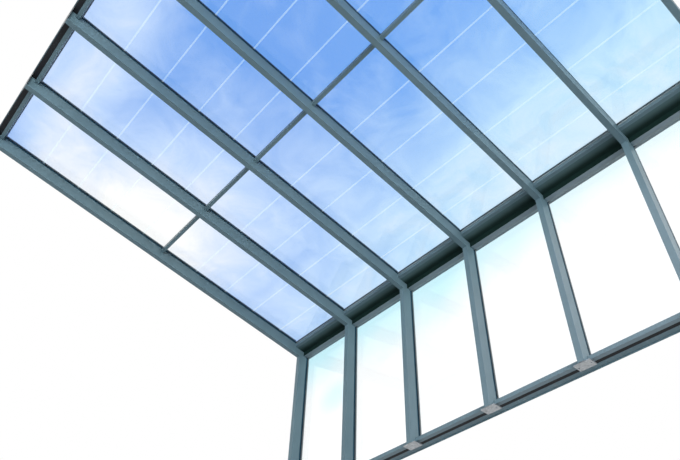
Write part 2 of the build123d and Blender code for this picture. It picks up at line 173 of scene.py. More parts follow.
def makePatchGroup():
    # a soft round patch on a plane: 1 at its centre, 0 beyond its reach
    group, start, end = newGroup(
        "softPatch", "ShaderNodeTree",
        [("Vector", vectorSocket, None), ("Centre", vectorSocket, (0, 0, 0)),
         ("Reach", vectorSocket, (1, 1, 1)), ("Turn", floatSocket, 0.0), ("Level", floatSocket, 1.0)],
        [("Mask", floatSocket)])
    shifted = put(group, "ShaderNodeVectorMath", operation="SUBTRACT")
    turned = put(group, "ShaderNodeVectorRotate", rotation_type="Z_AXIS")
    scaled = put(group, "ShaderNodeVectorMath", operation="DIVIDE")
    away = put(group, "ShaderNodeVectorMath", operation="LENGTH")
    fade = put(group, "ShaderNodeMapRange", {"From Max": 1.0, "To Max": 0.0},
               interpolation_type="SMOOTHERSTEP")
    wire(group,
         (start, "Vector", shifted, 0), (start, "Centre", shifted, 1), (shifted, 0, turned, "Vector"),
         (start, "Turn", turned, "Angle"), (turned, "Vector", scaled, 0), (start, "Reach", scaled, 1),
         (scaled, 0, away, 0), (away, "Value", fade, "Value"), (start, "Level", fade, "To Min"),
         (fade, "Result", end, "Mask"))
    return group


grainGroup = makeGrainGroup()
dustGroup = makeDustGroup()
streakGroup = makeStreakGroup()
patchGroup = makePatchGroup()


# Materials
def newMaterial(name):
    material = bpy.data.materials.new(name)
    material.use_nodes = True
    tree = material.node_tree
    shader = tree.nodes["Principled BSDF"]
    coords = put(tree, "ShaderNodeTexCoord")
    return material, tree, shader, coords


def useGroup(tree, group, values=None):
    node = put(tree, "ShaderNodeGroup", node_tree=group)
    for key, value in (values or {}).items():
        node.inputs[key].default_value = value
    return node


def grainNode(tree, look):
    return useGroup(tree, grainGroup, {
        "Colour": look["colour"], "Shade": look["shade"], "Mottle Scale": look["mottle"],
        "Grain Scale": look["grain"], "Smooth": look["gloss"][0], "Rough": look["gloss"][1]})


# Masks for coatings and rubber
def betweenBars(tree, coords):
    # 0 close to the bars, 1 on what runs across the bays
    axes = put(tree, "ShaderNodeSeparateXYZ")
    fromFirst = put(tree, "ShaderNodeMath", {1: barPlaces[0]}, operation="SUBTRACT")
    toNearest = put(tree, "ShaderNodeMath", {1: bayPitch / 2}, operation="PINGPONG")
    clear = put(tree, "ShaderNodeMapRange", {
        "From Min": glazing["barWidth"] / 2, "From Max": glazing["barWidth"]})
    wire(tree,
         (coords, "Object", axes, "Vector"), (axes, "X", fromFirst, 0), (fromFirst, "Value", toNearest, 0),
         (toNearest, "Value", clear, "Value"))
    return clear.outputs["Result"]


# painted light: where the bar coating turns paler, as if lit by the bright panes nearby
paintedLightOnBars = {
    "headReach": 0.03,  # above and below the upper edge of the front units
    "down": (1.95, 1.0),  # heights between which the mullions turn paler
    "along": (-2.0, 2.0),  # places along the eave between which they do so more and more
    "most": 0.5,
}


def paintedLightNearPanes(tree, coords):
    # painted light from the bright panes: 1 on the head transoms, and rising down the mullions that stand far
    # from the first bar
    axes = put(tree, "ShaderNodeSeparateXYZ")
    atHead = put(tree, "ShaderNodeMath", {1: glazing["head"], 2: paintedLightOnBars["headReach"]}, operation="COMPARE")
    heads = put(tree, "ShaderNodeMath", operation="MULTIPLY")
    down = put(tree, "ShaderNodeMapRange", {"From Min": paintedLightOnBars["down"][0], "From Max": paintedLightOnBars["down"][1]})
    along = put(tree, "ShaderNodeMapRange", {
        "From Min": paintedLightOnBars["along"][0], "From Max": paintedLightOnBars["along"][1], "To Max": paintedLightOnBars["most"]})
    low = put(tree, "ShaderNodeMath", operation="MULTIPLY")
    either = put(tree, "ShaderNodeMath", operation="MAXIMUM")
    wire(tree,
         (coords, "Object", axes, "Vector"), (axes, "Z", atHead, 0), (atHead, "Value", heads, 0),
         (axes, "Z", down, "Value"), (axes, "X", along, "Value"),
         (down, "Result", low, 0), (along, "Result", low, 1),
         (heads, "Value", either, 0), (low, "Value", either, 1))
    tree.links.new(betweenBars(tree, coords), heads.inputs[1])
    return either.outputs["Value"]


# painted shade in the recess behind the closure panels
paintedShadeDarkestAt = 0.8  # share of the recess's depth where its coating is darkest


def paintedShadeIntoRecess(tree, coords):
    # painted shade: 0 at the inner side of the closure panels, 1 towards the back of their recess
    low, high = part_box("eave_closure_panels")
    axes = put(tree, "ShaderNodeSeparateXYZ")
    back = low.y + paintedShadeDarkestAt * (high.y - low.y)
    depth = put(tree, "ShaderNodeMapRange", {"From Min": low.y, "From Max": back},
                interpolation_type="SMOOTHSTEP")
    wire(tree, (coords, "Object", axes, "Vector"), (axes, "Y", depth, "Value"))
    return depth.outputs["Result"]


# Opaque materials
grainDepth = 0.0004  # height of the finest bumps
lineDepth = 0.0003  # and of the lines in bare metal


def coatMaterial(name, look, makeMask=None):
    # painted, rubber or plastic surface: mottled colour, settled dust, fine grain in gloss and bump
    material, tree, shader, coords = newMaterial(name)
    grain = grainNode(tree, look)
    dust = useGroup(tree, dustGroup, {"Dust": look["dust"], "Amount": look["dustAmount"]})
    bump = put(tree, "ShaderNodeBump", {"Strength": look["bump"], "Distance": grainDepth})
    wire(tree,
         (coords, "Object", grain, "Vector"), (coords, "Object", dust, "Vector"),
         (grain, "Colour", dust, "Colour"), (grain, "Roughness", shader, "Roughness"),
         (grain, "Height", bump, "Height"), (bump, "Normal", shader, "Normal"))
    last = dust
    if "streak" in look:
        streaks = useGroup(tree, streakGroup, {"Streak": look["streak"], "Amount": look["streakAmount"]})
        wire(tree, (coords, "Object", streaks, "Vector"), (dust, "Colour", streaks, "Colour"))
        last = streaks
    tone = last.outputs["Colour"]
    # the mask's second colour: painted light on the bar coating, painted shade on the closure coating
    if makeMask:
        other = put(tree, "ShaderNodeMix", {7: look["other"]}, data_type="RGBA")
        tree.links.new(makeMask(tree, coords), other.inputs[0])
        tree.links.new(tone, other.inputs[6])
        tone = other.outputs[2]
    tree.links.new(tone, shader.inputs["Base Color"])
    shader.inputs["Specular IOR Level"].default_value = look["specular"]
    return material


def metalMaterial(name, look):
    # bare metal with lines along its length
    material, tree, shader, coords = newMaterial(name)
    grain = grainNode(tree, look)
    lines = useGroup(tree, streakGroup, {
        "Streak": look["line"], "Amount": look["lineAmount"], "Stretch": look["stretch"],
        "Threshold": look["threshold"]})
    bump = put(tree, "ShaderNodeBump", {"Strength": look["bump"], "Distance": lineDepth})
    wire(tree,
         (coords, "Object", grain, "Vector"), (coords, "Object", lines, "Vector"),
         (grain, "Colour", lines, "Colour"), (lines, "Colour", shader, "Base Color"),
         (grain, "Roughness", shader, "Roughness"), (lines, "Mask", bump, "Height"),
         (bump, "Normal", shader, "Normal"))
    shader.inputs["Metallic"].default_value = 1.0
    return material


def spangleMaterial(name, look):
    # hot-dip zinc: flat crystals of slightly different grey
    material, tree, shader, coords = newMaterial(name)
    crystals = put(tree, "ShaderNodeTexVoronoi", {"Scale": look["spangle"], "Randomness": 1.0})
    grey = put(tree, "ShaderNodeSeparateColor")
    tone = put(tree, "ShaderNodeMix", {6: look["colour"], 7: look["shade"]}, data_type="RGBA")
    gloss = put(tree, "ShaderNodeMapRange", {"To Min": look["gloss"][0], "To Max": look["gloss"][1]})
    grain = useGroup(tree, grainGroup, {"Grain Scale": look["grain"]})
    bump = put(tree, "ShaderNodeBump", {"Strength": look["bump"], "Distance": grainDepth})
    wire(tree,
         (coords, "Object", crystals, "Vector"), (crystals, "Color", grey, "Color"),
         (grey, "Red", tone, 0), (tone, 2, shader, "Base Color"),
         (grey, "Green", gloss, "Value"), (gloss, "Result", shader, "Roughness"),
         (coords, "Object", grain, "Vector"), (grain, "Height", bump, "Height"),
         (bump, "Normal", shader, "Normal"))
    shader.inputs["Metallic"].default_value = look["metallic"]
    return material


barLook = {
    "colour": (0.110, 0.180, 0.212, 1), "shade": (0.094, 0.157, 0.188, 1), "mottle": 1.3, "grain": 420.0,
    "gloss": (0.34, 0.46), "dust": (0.36, 0.38, 0.38, 1), "dustAmount": 0.25, "bump": 0.12, "specular": 0.35,
    # other: painted light, the paler coating on the head transoms and lower mullions
    "other": (0.225, 0.285, 0.325, 1),
}
outerLook = dict(barLook, streak=(0.24, 0.26, 0.26, 1), streakAmount=0.45, dustAmount=0.5)
# closure: its other colour is painted shade, darkening the coating towards the back of the recess
closureLook = dict(barLook, colour=(0.078, 0.134, 0.140, 1), shade=(0.066, 0.114, 0.121, 1), gloss=(0.5, 0.6),
                   dustAmount=0.02, specular=0.12, other=(0.007, 0.020, 0.018, 1))
gasketLook = {
    "colour": (0.012, 0.054, 0.088, 1), "shade": (0.009, 0.045, 0.075, 1), "mottle": 3.0, "grain": 700.0,
    "gloss": (0.55, 0.75), "dust": (0.10, 0.11, 0.11, 1), "dustAmount": 0.3, "bump": 0.2, "specular": 0.2,
    "other": (0.320, 0.400, 0.440, 1),
}
greyRubberLook = dict(gasketLook, colour=(0.290, 0.350, 0.365, 1), shade=(0.250, 0.305, 0.320, 1),
                      dustAmount=0.1)
plasticLook = dict(gasketLook, colour=(0.018, 0.020, 0.023, 1), shade=(0.012, 0.013, 0.016, 1), grain=500.0)
spacerLook = dict(plasticLook, colour=(0.012, 0.042, 0.068, 1), shade=(0.009, 0.035, 0.057, 1),
                  other=(0.360, 0.430, 0.470, 1))
sealLook = dict(gasketLook, colour=(0.320, 0.380, 0.400, 1), shade=(0.280, 0.335, 0.355, 1),
                gloss=(0.4, 0.55))
millLook = {
    "colour": (0.62, 0.63, 0.64, 1), "shade": (0.52, 0.53, 0.55, 1), "mottle": 6.0, "grain": 260.0,
    "gloss": (0.28, 0.42), "line": (0.40, 0.41, 0.43, 1), "lineAmount": 0.5, "stretch": (400.0, 3.0, 400.0),
    "threshold": 0.4, "bump": 0.1,
}
screwLook = dict(millLook, colour=(0.55, 0.55, 0.54, 1), shade=(0.42, 0.42, 0.42, 1),
                 stretch=(300.0, 300.0, 60.0))
zincLook = {
    "colour": (0.50, 0.52, 0.53, 1), "shade": (0.36, 0.38, 0.40, 1), "spangle": 55.0, "gloss": (0.35, 0.6),
    "grain": 240.0, "bump": 0.15, "metallic": 0.85,
}

# painted sky: the blue, the bright haze near the eave and the clouds seen through the roof are painted into
# the outer lite's colour
roofPaintedSky = {
    "cyan": [(0.140, 0.420, 0.960, 1), (0.520, 0.790, 1.0, 1), (1.0, 1.0, 1.0, 1)],
    "violet": [(0.140, 0.355, 0.860, 1), (0.520, 0.690, 1.0, 1), (1.0, 1.0, 1.0, 1)],
    # the painted sky's hue turns with the distance up the glass, less a share of that along the eave
    "slant": -0.6, "violetFrom": -1.17, "violetAt": 3.0,
    "inner": (0.985, 0.995, 0.995, 1),
    "whitePatch": {"Centre": (-2.97, -2.8, 0.0), "Reach": (2.82, 2.21, 9.0), "Turn": -0.65, "Level": 1.06},
    "palePatch": {"Centre": (-0.84, -2.28, 0.0), "Reach": (2.51, 1.4, 9.0), "Turn": -1.4, "Level": 0.24},
    "highPatch": {"Centre": (-1.43, -4.26, 0.0), "Reach": (3.0, 0.87, 9.0), "Turn": 0.04, "Level": 0.6},
    "skyHazeReach": 2.53, "skyHazeLevel": 0.53, "bandEdge": (1.02, 0.90), "bandLevel": 0.07,
    "skyHazeAtFirstBar": 0.76, "fullSkyHazeAt": 1.0, "wispScale": 1.7, "wispLevels": (-0.11, 0.12),
    "paintedGlow": 0.018, "ior": 1.27,
}
# painted sky: the blue towards the top of the front units, its wisps and the blue patch are painted into the
# outer lite's colour
frontPaintedSky = {
    "top": (0.57, 0.90, 0.99, 1), "body": (1.0, 1.0, 1.0, 1), "inner": (0.99, 1.0, 1.0, 1),
    "fade": (2.10, 1.05), "wispScale": 1.2, "wisps": 0.6,
    "clearFrom": -0.5, "clearAt": 1.5, "clearLevel": 0.5,  # clears along the eave
    "bluePatch": {"Centre": (-2.35, 0.08, 1.17), "Reach": (0.55, 9.0, 0.36), "Level": -0.6},
    "paintedGlow": 0.045, "ior": 1.25,
}
glassSurface = {
    "waveScale": 2.2, "waveStrength": 0.02, "waveDepth": 0.002,
    "markAmount": 0.05, "markStretch": (26.0, 2.0, 2.0), "markThreshold": 0.5,
}


def wavesAndMarks(tree, coords, shader, look):
    # faint roller waves in the bump, and a trace of dried water in the gloss
    waves = put(tree, "ShaderNodeTexNoise", {"Scale": look["waveScale"], "Detail": 1.0})
    bump = put(tree, "ShaderNodeBump", {"Strength": look["waveStrength"], "Distance": look["waveDepth"]})
    marks = useGroup(tree, streakGroup, {
        "Amount": look["markAmount"], "Stretch": look["markStretch"], "Threshold": look["markThreshold"]})
    wire(tree,
         (coords, "Object", waves, "Vector"), (waves, "Fac", bump, "Height"),
         (bump, "Normal", shader, "Normal"), (coords, "Object", marks, "Vector"),
         (marks, "Mask", shader, "Roughness"))


def finishGlass(tree, shader, outer, look):
    # painted glow: a faint emission on the outer lite stands in for daylight caught in its dust
    tree.links.new(outer.outputs["Value"], shader.inputs["Emission Color"])
    shader.inputs["Emission Strength"].default_value = look["paintedGlow"]
    shader.inputs["Transmission Weight"].default_value = 1.0
    shader.inputs["IOR"].default_value = look["ior"]


def addUp(tree, *parts):
    # sum of node outputs, kept between 0 and 1
    total = parts[0]
    for part in parts[1:]:
        plus = put(tree, "ShaderNodeMath", operation="ADD")
        tree.links.new(total, plus.inputs[0])
        tree.links.new(part, plus.inputs[1])
        total = plus.outputs[0]
    plus.use_clamp = True
    return total


def paintedSkyRamp(tree, colours):
    # painted sky: deep blue, pale and clear, in even steps
    ramp = put(tree, "ShaderNodeValToRGB")
    ramp.color_ramp.elements.new(0.5)
    for stop, colour in zip(ramp.color_ramp.elements, colours):
        stop.color = colour
    return ramp


def roofGlassMaterial(look):
    material, tree, shader, coords = newMaterial("roofGlass")
    toPlane = put(tree, "ShaderNodeMapping")  # into the working frame of the roof
    toPlane.inputs["Rotation"].default_value = (glazing["slope"], 0, 0)
    toPlane.inputs["Location"].default_value = roofPlace.inverted().translation
    axes = put(tree, "ShaderNodeSeparateXYZ")
    # the painted sky is on the outer lite, beyond the middle of the unit
    middle = glazing["rafterDepth"] + glazing["gasket"] + glazing["roofUnit"] / 2  # the tint is beyond it
    outer = put(tree, "ShaderNodeMath", {1: middle}, operation="GREATER_THAN")
    up = put(tree, "ShaderNodeMath", {1: -1.0}, operation="MULTIPLY")
    skyHaze = put(tree, "ShaderNodeMapRange", {
        "From Max": look["skyHazeReach"], "To Min": look["skyHazeLevel"], "To Max": 0.0},
        interpolation_type="SMOOTHSTEP")
    band = put(tree, "ShaderNodeMapRange", {
        "From Min": look["bandEdge"][0], "From Max": look["bandEdge"][1], "To Max": look["bandLevel"]},
        interpolation_type="SMOOTHSTEP")
    across = put(tree, "ShaderNodeMapRange", {
        "From Min": barPlaces[0], "From Max": look["fullSkyHazeAt"], "To Min": look["skyHazeAtFirstBar"]})
    both = put(tree, "ShaderNodeMath", operation="ADD")
    near = put(tree, "ShaderNodeMath", operation="MULTIPLY")
    white = useGroup(tree, patchGroup, look["whitePatch"])
    pale = useGroup(tree, patchGroup, look["palePatch"])
    high = useGroup(tree, patchGroup, look["highPatch"])
    wisps = put(tree, "ShaderNodeTexNoise", {
        "Scale": look["wispScale"], "Detail": 6.0, "Roughness": 0.6, "Distortion": 0.8})
    soft = put(tree, "ShaderNodeMapRange", {
        "From Min": 0.3, "From Max": 0.7, "To Min": look["wispLevels"][0], "To Max": look["wispLevels"][1]})
    cyan = paintedSkyRamp(tree, look["cyan"])
    violet = paintedSkyRamp(tree, look["violet"])
    slant = put(tree, "ShaderNodeMath", {1: look["slant"]}, operation="MULTIPLY_ADD")
    turn = put(tree, "ShaderNodeMapRange", {"From Min": look["violetFrom"], "From Max": look["violetAt"]},
               interpolation_type="SMOOTHSTEP")
    hue = put(tree, "ShaderNodeMix", data_type="RGBA")
    tone = put(tree, "ShaderNodeMix", {6: look["inner"]}, data_type="RGBA")
    wire(tree,
         (coords, "Object", toPlane, "Vector"), (toPlane, "Vector", axes, "Vector"),
         (axes, "Z", outer, 0), (axes, "Y", up, 0), (up, "Value", skyHaze, "Value"),
         (up, "Value", band, "Value"), (skyHaze, "Result", both, 0), (band, "Result", both, 1),
         (axes, "X", across, "Value"), (both, "Value", near, 0), (across, "Result", near, 1),
         (toPlane, "Vector", white, "Vector"), (toPlane, "Vector", pale, "Vector"),
         (toPlane, "Vector", high, "Vector"), (toPlane, "Vector", wisps, "Vector"),
         (wisps, "Fac", soft, "Value"), (axes, "X", slant, 0), (up, "Value", slant, 2),
         (slant, "Value", turn, "Value"), (turn, "Result", hue, 0), (cyan, "Color", hue, 6),
         (violet, "Color", hue, 7), (outer, "Value", tone, 0), (hue, 2, tone, 7),
         (tone, 2, shader, "Base Color"))
    level = addUp(tree, near.outputs[0], white.outputs["Mask"], pale.outputs["Mask"], high.outputs["Mask"],
                  soft.outputs["Result"])
    for ramp in (cyan, violet):
        tree.links.new(level, ramp.inputs["Fac"])
    wavesAndMarks(tree, coords, shader, glassSurface)
    finishGlass(tree, shader, outer, look)
    return material


def frontGlassMaterial(look):
    material, tree, shader, coords = newMaterial("frontGlass")
    axes = put(tree, "ShaderNodeSeparateXYZ")
    middle = glazing["mullionDepth"] + glazing["gasket"] + glazing["frontUnit"] / 2 - glazing["innerFace"]
    outer = put(tree, "ShaderNodeMath", {1: middle}, operation="GREATER_THAN")
    wisps = put(tree, "ShaderNodeTexNoise", {"Scale": look["wispScale"], "Detail": 4.0})
    shift = put(tree, "ShaderNodeMath", {1: look["wisps"]}, operation="MULTIPLY")
    level = put(tree, "ShaderNodeMath", operation="ADD")
    fade = put(tree, "ShaderNodeMapRange", {
        "From Min": look["fade"][0] + look["wisps"] / 2, "From Max": look["fade"][1] + look["wisps"] / 2},
        interpolation_type="SMOOTHSTEP")
    clearing = put(tree, "ShaderNodeMapRange", {
        "From Min": look["clearFrom"], "From Max": look["clearAt"], "To Max": look["clearLevel"]})
    blue = useGroup(tree, patchGroup, look["bluePatch"])
    tinted = put(tree, "ShaderNodeMix", {6: look["top"], 7: look["body"]}, data_type="RGBA")
    tone = put(tree, "ShaderNodeMix", {6: look["inner"]}, data_type="RGBA")
    wire(tree,
         (coords, "Object", axes, "Vector"), (coords, "Object", wisps, "Vector"), (wisps, "Fac", shift, 0),
         (axes, "Z", level, 0), (shift, "Value", level, 1), (level, "Value", fade, "Value"),
         (axes, "X", clearing, "Value"), (coords, "Object", blue, "Vector"),
         (axes, "Y", outer, 0), (outer, "Value", tone, 0), (tinted, 2, tone, 7),
         (tone, 2, shader, "Base Color"))
    clear = addUp(tree, fade.outputs["Result"], clearing.outputs["Result"], blue.outputs["Mask"])
    tree.links.new(clear, tinted.inputs[0])
    wavesAndMarks(tree, coords, shader, glassSurface)
    finishGlass(tree, shader, outer, look)
    return material


printLook = {
    "colour": (0.82, 0.97, 1.0, 1), "shade": (0.72, 0.92, 1.0, 1), "mottle": 5.0, "grain": 900.0,
    # glow: painted light, the print shines as if it scattered sunlight
    "gloss": (0.5, 0.7), "glow": 0.7, "cover": 0.13,
}


def printMaterial(look):
    # thin ceramic print: lets most of the light through; its glow is painted light, standing in for the
    # sunlight it scatters
    material, tree, shader, coords = newMaterial("whitePrint")
    grain = grainNode(tree, look)
    wire(tree, (coords, "Object", grain, "Vector"), (grain, "Colour", shader, "Base Color"),
         (grain, "Roughness", shader, "Roughness"), (grain, "Colour", shader, "Emission Color"))
    # painted light: the print's glow
    shader.inputs["Emission Strength"].default_value = look["glow"]
    shader.inputs["Alpha"].default_value = look["cover"]
    return material


finishes = {
    "bar_coating": coatMaterial("barCoating", barLook, paintedLightNearPanes),
    "outer_coating": coatMaterial("outerCoating", outerLook),
    "closure_coating": coatMaterial("closureCoating", closureLook, paintedShadeIntoRecess),
    "gasket_rubber": coatMaterial("gasketRubber", gasketLook, betweenBars),
    "dark_plastic": coatMaterial("darkPlastic", plasticLook),
    "grey_rubber": coatMaterial("greyRubber", greyRubberLook),
    "spacer_plastic": coatMaterial("spacerPlastic", spacerLook, betweenBars),
    "plain_aluminium": metalMaterial("millAluminium", millLook),
    "anchor_steel": spangleMaterial("zincSteel", zincLook),
    "roof_glass": roofGlassMaterial(roofPaintedSky),
    "front_glass": frontGlassMaterial(frontPaintedSky),
}
sealFinish = coatMaterial("sealant", sealLook)
screwFinish = metalMaterial("screwSteel", screwLook)
printFinish = printMaterial(printLook)

slotOf = {row["node"]: row["material_slot"] for row in frame["record"]["subparts"]}
for name, node in frame["nodes"].items():
    for place in node.material_slots:
        place.material = finishes[slotOf[name]]
print("materials on", len(frame["nodes"]), "nodes")


# Geometry node trees for what repeats
def gridPoints(tree, start):
    # columns along x, rows along y, and groups of rows
    def run(count, pitch, axis):
        step = put(tree, "ShaderNodeCombineXYZ")
        line = put(tree, "GeometryNodeMeshLine", mode="OFFSET")
        wire(tree, (start, pitch, step, axis), (step, 0, line, "Offset"), (start, count, line, "Count"))
        return line
    columns = run("Columns", "Column Pitch", "X")
    rows = run("Rows", "Row Pitch", "Y")
    groups = run("Groups", "Group Pitch", "Y")
    rowsOnGroups = put(tree, "GeometryNodeInstanceOnPoints")
    onColumns = put(tree, "GeometryNodeInstanceOnPoints")
    points = put(tree, "GeometryNodeRealizeInstances")
    wire(tree,
         (groups, 0, rowsOnGroups, "Points"), (rows, 0, rowsOnGroups, "Instance"),
         (columns, 0, onColumns, "Points"), (rowsOnGroups, 0, onColumns, "Instance"),
         (onColumns, 0, points, 0))
    return points


gridInputs = [
    ("Columns", "NodeSocketInt", 1), ("Column Pitch", floatSocket, 1.0), ("Rows", "NodeSocketInt", 1),
    ("Row Pitch", floatSocket, 1.0), ("Groups", "NodeSocketInt", 1), ("Group Pitch", floatSocket, 1.0),
    ("Finish", "NodeSocketMaterial", None),
]
geometryOut = [("Geometry", "NodeSocketGeometry")]


def closeTree(tree, start, end, instances):
    real = put(tree, "GeometryNodeRealizeInstances")
    finish = put(tree, "GeometryNodeSetMaterial")
    wire(tree, (instances, 0, real, 0), (real, 0, finish, "Geometry"), (start, "Finish", finish, "Material"),
         (finish, 0, end, 0))
    return tree


def makeBlockTree():
    tree, start, end = newGroup(
        "blockGrid", "GeometryNodeTree", gridInputs + [("Size", vectorSocket, (0.1, 0.1, 0.1))], geometryOut)
    block = put(tree, "GeometryNodeMeshCube")
    spread = put(tree, "GeometryNodeInstanceOnPoints")
    wire(tree, (start, "Size", block, "Size"), (gridPoints(tree, start), 0, spread, "Points"),
         (block, 0, spread, "Instance"))
    return closeTree(tree, start, end, spread)


def makeScrewTree():
    tree, start, end = newGroup(
        "screwGrid", "GeometryNodeTree",
        gridInputs + [("Head Radius", floatSocket, 0.005), ("Head Height", floatSocket, 0.004),
                      ("Washer Radius", floatSocket, 0.008), ("Washer Height", floatSocket, 0.0015),
                      ("Seed", "NodeSocketInt", 3)],
        geometryOut)
    head = put(tree, "GeometryNodeMeshCylinder", {"Vertices": 6})
    washer = put(tree, "GeometryNodeMeshCone", {"Vertices": 18})
    both = put(tree, "GeometryNodeJoinGeometry")
    lift = put(tree, "GeometryNodeTransform")
    rise = put(tree, "ShaderNodeCombineXYZ")
    half = put(tree, "ShaderNodeMath", {1: 0.5}, operation="MULTIPLY")
    total = put(tree, "ShaderNodeMath", operation="ADD")
    turn = put(tree, "FunctionNodeRandomValue", data_type="FLOAT")
    turn.inputs[3].default_value = math.tau
    spin = put(tree, "ShaderNodeCombineXYZ")
    spread = put(tree, "GeometryNodeInstanceOnPoints")
    narrow = put(tree, "ShaderNodeMath", {1: 0.8}, operation="MULTIPLY")  # the washer's upper rim
    wire(tree,
         (start, "Head Radius", head, "Radius"), (start, "Head Height", head, "Depth"),
         (start, "Washer Radius", washer, "Radius Bottom"), (start, "Washer Radius", narrow, 0),
         (narrow, "Value", washer, "Radius Top"), (start, "Washer Height", washer, "Depth"),
         (start, "Head Height", half, 0), (half, "Value", total, 0), (start, "Washer Height", total, 1),
         (total, "Value", rise, "Z"), (rise, 0, lift, "Translation"), (head, 0, lift, "Geometry"),
         (lift, 0, both, 0), (washer, 0, both, 0), (start, "Seed", turn, "Seed"), (turn, 1, spin, "Z"),
         (gridPoints(tree, start), 0, spread, "Points"), (both, 0, spread, "Instance"),
         (spin, 0, spread, "Rotation"))
    return closeTree(tree, start, end, spread)


def makeBeadTree():
    tree, start, end = newGroup(
        "beadGrid", "GeometryNodeTree",
        gridInputs + [("Length", floatSocket, 1.0), ("Radius", floatSocket, 0.003)], geometryOut)
    farEnd = put(tree, "ShaderNodeCombineXYZ")
    line = put(tree, "GeometryNodeCurvePrimitiveLine")
    ring = put(tree, "GeometryNodeCurvePrimitiveCircle", {"Resolution": 10})
    tube = put(tree, "GeometryNodeCurveToMesh", {"Fill Caps": True})
    spread = put(tree, "GeometryNodeInstanceOnPoints")
    wire(tree,
         (start, "Length", farEnd, "X"), (farEnd, 0, line, "End"), (start, "Radius", ring, "Radius"),
         (line, 0, tube, "Curve"), (ring, 0, tube, "Profile Curve"),
         (gridPoints(tree, start), 0, spread, "Points"), (tube, 0, spread, "Instance"))
    return closeTree(tree, start, end, spread)


blockTree = makeBlockTree()
screwTree = makeScrewTree()
beadTree = makeBeadTree()


def grow(name, tree, values, place):
    # runs the tree, keeps the result as a plain mesh at its place, and lets it ride on the part
    seed = bpy.data.objects.new(name, bpy.data.meshes.new(name))
    scene.collection.objects.link(seed)
    modifier = seed.modifiers.new("grow", "NODES")
    modifier.node_group = tree
    for item in tree.interface.items_tree:
        if item.item_type == "SOCKET" and item.in_out == "INPUT" and item.name in values:
            modifier[item.identifier] = values[item.name]
    mesh = bpy.data.meshes.new_from_object(seed.evaluated_get(bpy.context.evaluated_depsgraph_get()))
    seed.modifiers.clear()
    mesh.transform(place)
    seed.data = mesh
    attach(seed, "root")
    print("grew", name, len(mesh.polygons), "faces")
    return seed


roofFace = glazing["rafterDepth"] + glazing["gasket"] + glazing["roofUnit"]
frontFace = glazing["mullionDepth"] + glazing["gasket"] + glazing["frontUnit"]

printedLines = {
    "first": 0.326,  # from the lower edge of a unit to its first line
    "pitch": 0.470, "perUnit": 4,
    "groupPitch": 2.236,  # from a line of the lower unit to the same line of the upper one
    "width": 0.017, "depth": 0.0004, "margin": 0.027,
}


def makePrintedLines(look):
    values = {
        "Columns": bayCount, "Column Pitch": bayPitch, "Rows": look["perUnit"], "Row Pitch": -look["pitch"],
        "Groups": 2, "Group Pitch": -look["groupPitch"], "Finish": printFinish,
        "Size": (bayPitch - 2 * look["margin"], look["width"], look["depth"]),
    }
    under = roofFace - glazing["outerLite"] - look["depth"]
    first = Matrix.Translation((barPlaces[0] + bayPitch / 2, -glazing["eave"] - look["first"], under))
    grow("printedLines", blockTree, values, roofPlace @ first)


makePrintedLines(printedLines)

capEnds = {"width": 0.0484, "height": 0.0125, "thickness": 0.0015}
capInset = 0.026  # from the edge of the glass to the end of a cap
caps = {
    "roof": (glazing["eave"] + capInset, glazing["ridge"] - capInset),
    "front": (glazing["sill"] + capInset, glazing["head"] - capInset),
    "foot": 0.005,  # lower edge of the cap above the glass
}


def makeCapEnds(look):
    for name, place, face, ends in (("rafterCapEnds", roofPlace, roofFace, caps["roof"]),
                                    ("mullionCapEnds", frontPlace, frontFace, caps["front"])):
        values = {
            "Columns": bayCount + 1, "Column Pitch": bayPitch, "Rows": 2, "Row Pitch": ends[0] - ends[1],
            "Groups": 1, "Group Pitch": 1.0, "Finish": finishes["outer_coating"],
            "Size": (look["width"], look["thickness"], look["height"]),
        }
        middle = face + caps["foot"] + look["height"] / 2
        first = Matrix.Translation((barPlaces[0], -ends[0], middle))
        grow(name, blockTree, values, place @ first)


makeCapEnds(capEnds)

sheetScrews = {
    "pitch": 0.250, "head": (0.0048, 0.0045), "washer": (0.0085, 0.0016),  # radius and height
    "sheet": 0.002, "aboveEaveEdge": 0.045, "belowRidgeTop": 0.030,
}
plateScrews = {"pitch": 0.280, "head": (0.0045, 0.0040), "washer": (0.0080, 0.0012), "plate": 0.008}


def makeScrews(name, look, columns, columnPitch, rows, rowPitch, place):
    values = {
        "Columns": columns, "Column Pitch": columnPitch, "Rows": rows, "Row Pitch": rowPitch,
        "Groups": 1, "Group Pitch": 1.0, "Finish": screwFinish,
        "Head Radius": look["head"][0], "Head Height": look["head"][1],
        "Washer Radius": look["washer"][0], "Washer Height": look["washer"][1], "Seed": 11,
    }
    grow(name, screwTree, values, place)


